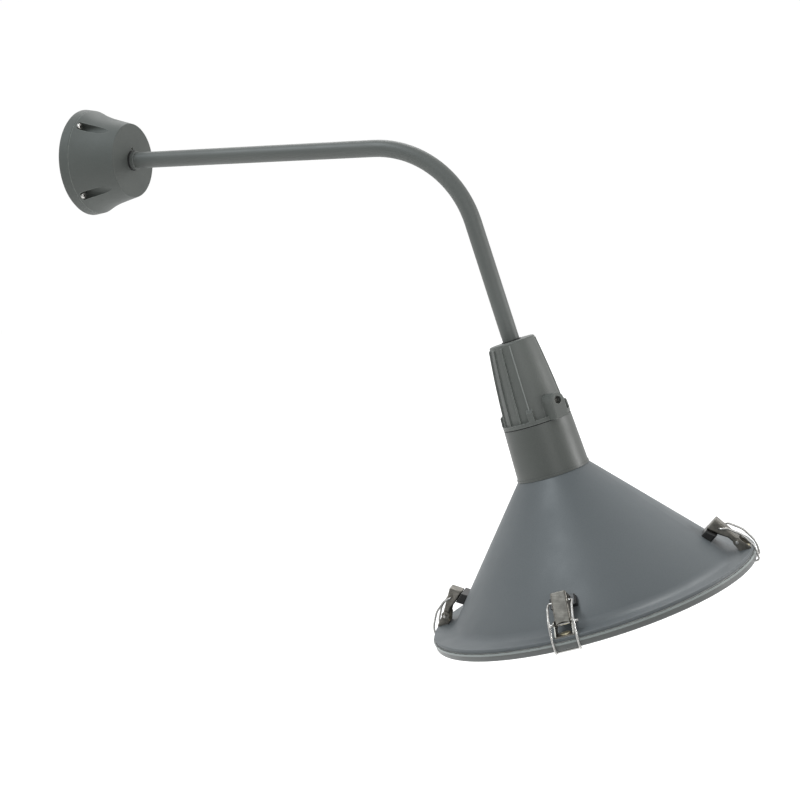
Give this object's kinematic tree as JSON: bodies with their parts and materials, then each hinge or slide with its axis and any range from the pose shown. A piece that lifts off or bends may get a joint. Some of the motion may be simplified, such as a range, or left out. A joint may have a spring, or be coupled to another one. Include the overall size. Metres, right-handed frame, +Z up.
{
  "type": "gooseneck wall light",
  "caption": "Wall light: round cast canopy, gooseneck pipe arm, finned socket housing and a conical shade whose glass lens ring is held by over-centre wire latches.",
  "frame": {"origin": "middle of the mounting face, where the foam seal meets the wall", "axes": "+X out of the wall along the straight part of the arm, +Z up, +Y to the left of someone facing the wall"},
  "size_m": [0.8905, 0.42, 0.695],
  "materials": {
    "canopy_paint": "fine textured semi-matte dark grey-green paint on a casting",
    "arm_paint": "semi-matte dark grey-green powder coat on steel pipe",
    "housing_paint": "fine textured semi-matte dark grey-green paint on a casting",
    "shade_paint": "semi-matte dark grey-green paint on spun metal, pale inside",
    "zinc_steel": "dull zinc plate with brighter edges",
    "wire_steel": "bright zinc plated spring wire",
    "screw_steel": "zinc plated screws",
    "black_rubber": "matte black rubber",
    "grey_foam": "closed-cell foam",
    "silicone": "translucent grey silicone",
    "lens_glass": "clear tempered glass",
    "lamp_glass": "soft white lamp glass",
    "porcelain": "glazed ceramic",
    "brass": "plain brass",
    "nickel": "nickel plated brass",
    "terminal_plastic": "moulded nylon",
    "lead_black": "insulation",
    "lead_white": "insulation",
    "lead_green": "insulation"
  },
  "bodies": {
    "light": {"arm_gasket": "black_rubber", "arm_key_screw": "screw_steel", "arm_locknut": "screw_steel", "arm_seal": "black_rubber", "bracket_rivets": "brass", "canopy_cover": "canopy_paint", "canopy_screws": "screw_steel", "earth_screw": "brass", "gooseneck_arm": "arm_paint", "holder_contact": "brass", "holder_plate": "screw_steel", "holder_screws": "screw_steel", "holder_shell": "nickel", "housing_gasket": "black_rubber", "housing_screws": "screw_steel", "jam_collar": "arm_paint", "lamp_arc": "porcelain", "lamp_cap": "nickel", "lamp_glass": "lamp_glass", "lamp_holder": "porcelain", "latch_bracket_1": "zinc_steel", "latch_bracket_2": "zinc_steel", "latch_bracket_3": "zinc_steel", "latch_bracket_4": "zinc_steel", "latch_bumper_1": "black_rubber", "latch_bumper_2": "black_rubber", "latch_bumper_3": "black_rubber", "latch_bumper_4": "black_rubber", "latch_pin_1": "wire_steel", "latch_pin_2": "wire_steel", "latch_pin_3": "wire_steel", "latch_pin_4": "wire_steel", "lead_earth": "lead_green", "lead_live": "lead_black", "lead_neutral": "lead_white", "lens_gasket": "silicone", "lens_glass": "lens_glass", "lens_ring": "shade_paint", "lug_plug": "screw_steel", "shade_collar": "shade_paint", "shade_cone": "shade_paint", "shade_screws": "screw_steel", "socket_housing": "housing_paint", "terminal_block": "terminal_plastic", "wall_gasket": "grey_foam", "wall_plate": "canopy_paint"},
    "lever_1": {"latch_lever_1": "zinc_steel"},
    "bail_1": {"latch_bail_1": "wire_steel"},
    "lever_2": {"latch_lever_2": "zinc_steel"},
    "bail_2": {"latch_bail_2": "wire_steel"},
    "lever_3": {"latch_lever_3": "zinc_steel"},
    "bail_3": {"latch_bail_3": "wire_steel"},
    "lever_4": {"latch_lever_4": "zinc_steel"},
    "bail_4": {"latch_bail_4": "wire_steel"}
  },
  "joints": [
    {"name": "lever_1_hinge", "type": "hinge", "parent": "light", "child": "lever_1", "pos_m": [0.86227, 0.02209, -0.48376], "axis": [-0.1117, 0.9932, -0.0335], "range_deg": [0, 110]},
    {"name": "bail_1_hinge", "type": "hinge", "parent": "lever_1", "child": "bail_1", "pos_m": [0.84172, 0.0203, -0.46803], "axis": [-0.1117, 0.9932, -0.0335], "range_deg": [-55, 0]},
    {"name": "lever_2_hinge", "type": "hinge", "parent": "light", "child": "lever_2", "pos_m": [0.70335, -0.18801, -0.53143], "axis": [0.9513, 0.1167, 0.2854], "range_deg": [0, 110]},
    {"name": "bail_2_hinge", "type": "hinge", "parent": "lever_2", "child": "bail_2", "pos_m": [0.69562, -0.17284, -0.51186], "axis": [0.9513, 0.1167, 0.2854], "range_deg": [-55, 0]},
    {"name": "lever_3_hinge", "type": "hinge", "parent": "light", "child": "lever_3", "pos_m": [0.50212, -0.02209, -0.59181], "axis": [0.1117, -0.9932, 0.0335], "range_deg": [0, 110]},
    {"name": "bail_3_hinge", "type": "hinge", "parent": "lever_3", "child": "bail_3", "pos_m": [0.51062, -0.0203, -0.56736], "axis": [0.1117, -0.9932, 0.0335], "range_deg": [-55, 0]},
    {"name": "lever_4_hinge", "type": "hinge", "parent": "light", "child": "lever_4", "pos_m": [0.66104, 0.18801, -0.54413], "axis": [-0.9513, -0.1167, -0.2854], "range_deg": [0, 110]},
    {"name": "bail_4_hinge", "type": "hinge", "parent": "lever_4", "child": "bail_4", "pos_m": [0.65672, 0.17284, -0.52353], "axis": [-0.9513, -0.1167, -0.2854], "range_deg": [-55, 0]}
  ],
  "couplings": [
    {"joint": "bail_1_hinge", "follows": "lever_1_hinge", "ratio": -0.5},
    {"joint": "bail_2_hinge", "follows": "lever_2_hinge", "ratio": -0.5},
    {"joint": "bail_3_hinge", "follows": "lever_3_hinge", "ratio": -0.5},
    {"joint": "bail_4_hinge", "follows": "lever_4_hinge", "ratio": -0.5}
  ]
}
